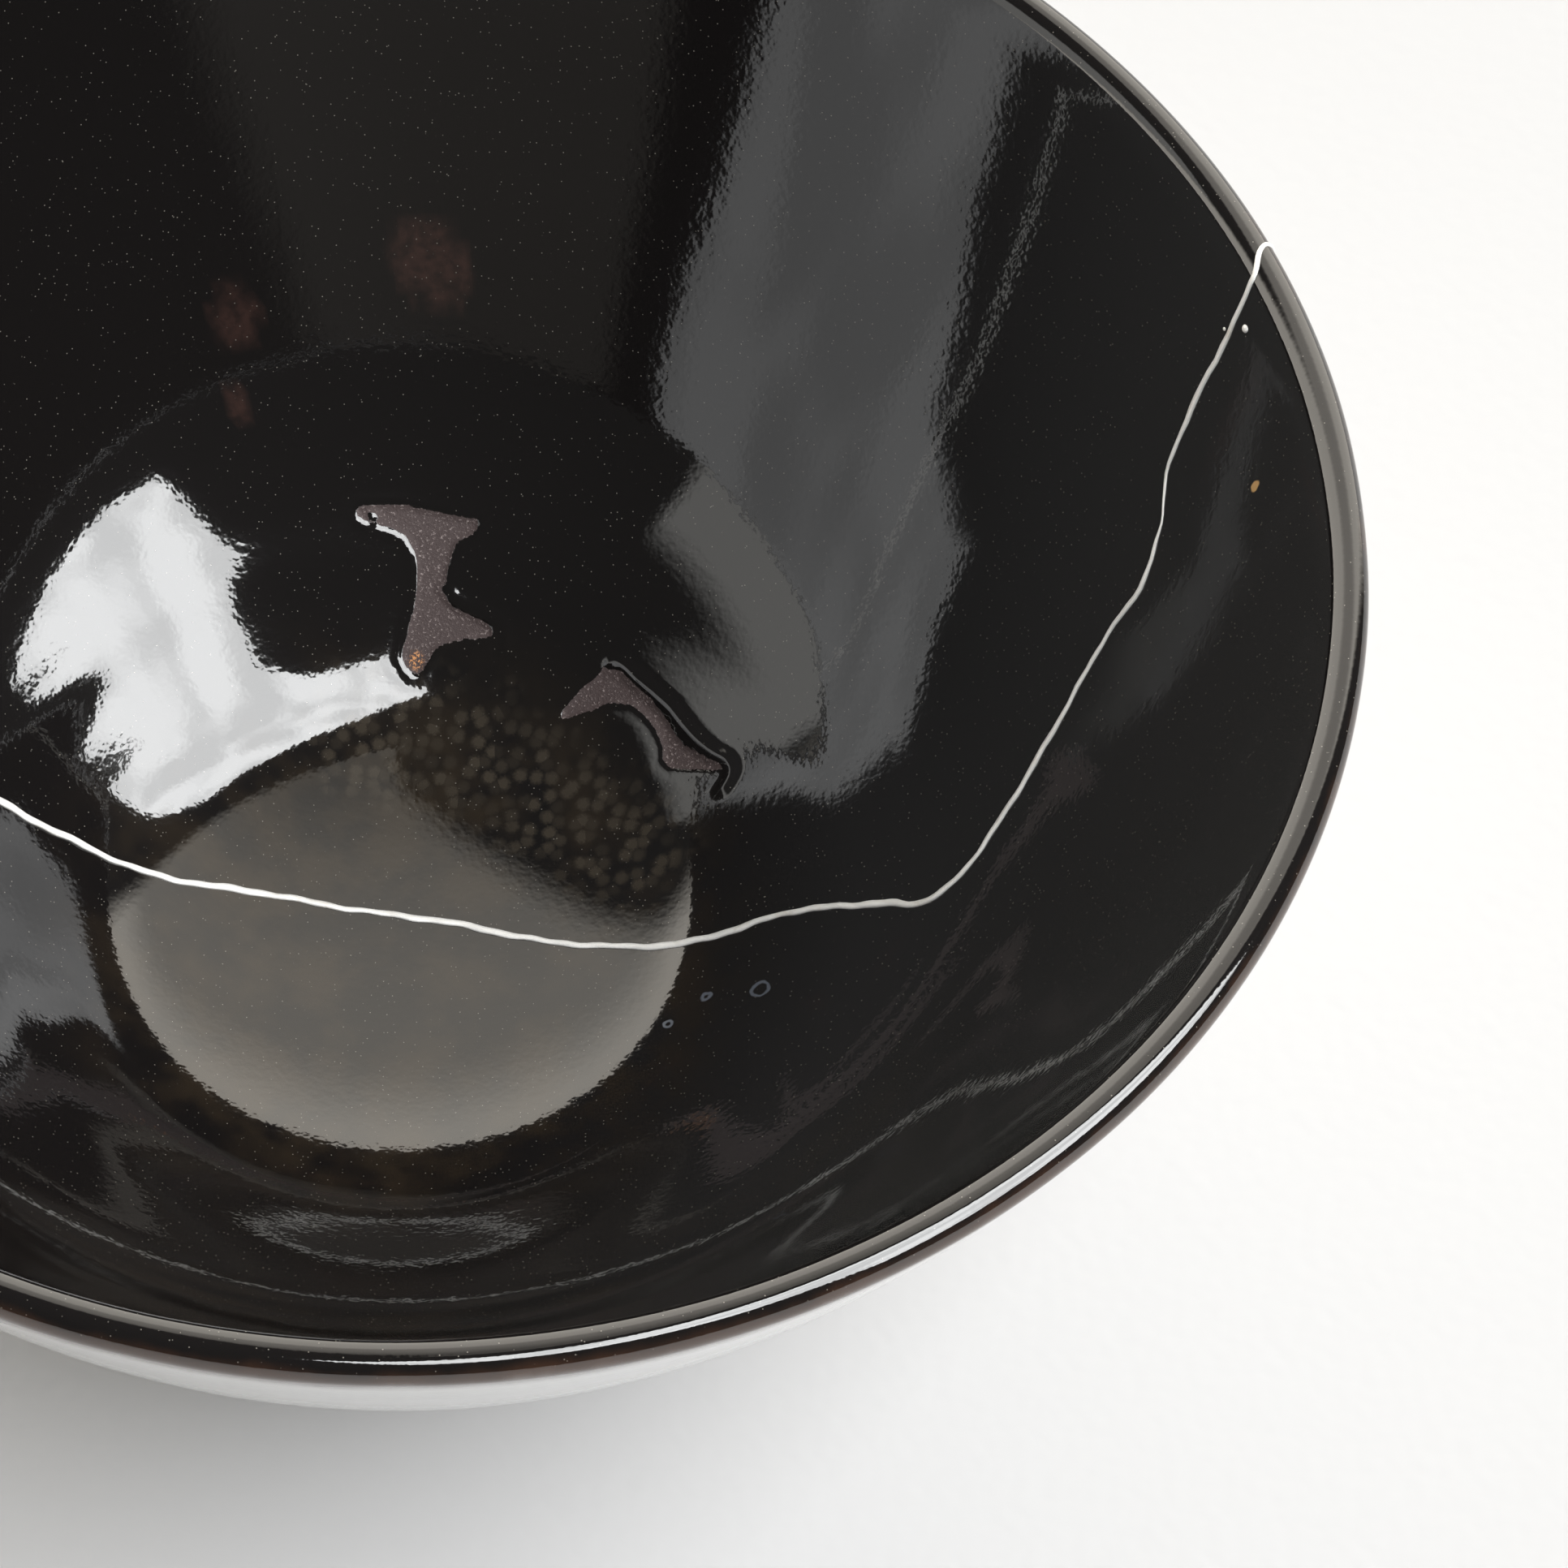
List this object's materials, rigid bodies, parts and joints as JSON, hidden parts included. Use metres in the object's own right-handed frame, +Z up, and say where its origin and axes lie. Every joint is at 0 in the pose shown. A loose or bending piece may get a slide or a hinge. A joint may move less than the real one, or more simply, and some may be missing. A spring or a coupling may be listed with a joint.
{
  "type": "ceramic bowl",
  "caption": "Deep footed ceramic bowl with a rounded lip, glossy black glaze inside, white glaze outside, mended with a raised silver seam.",
  "frame": {"origin": "on the table, under the middle of the foot ring", "axes": "+Z up through the middle of the bowl; the mended break runs roughly along X, and its right end is the one at +X"},
  "size_m": [0.1502, 0.1502, 0.0778],
  "materials": {
    "glaze": "wet black-brown gloss inside and over the lip, white gloss outside, bare clay under the foot ring",
    "silver": "satin silver dusted on lacquer, softly worn"
  },
  "bodies": {
    "root": {"bowl": "glaze", "silver_seam": "silver"}
  },
  "joints": []
}
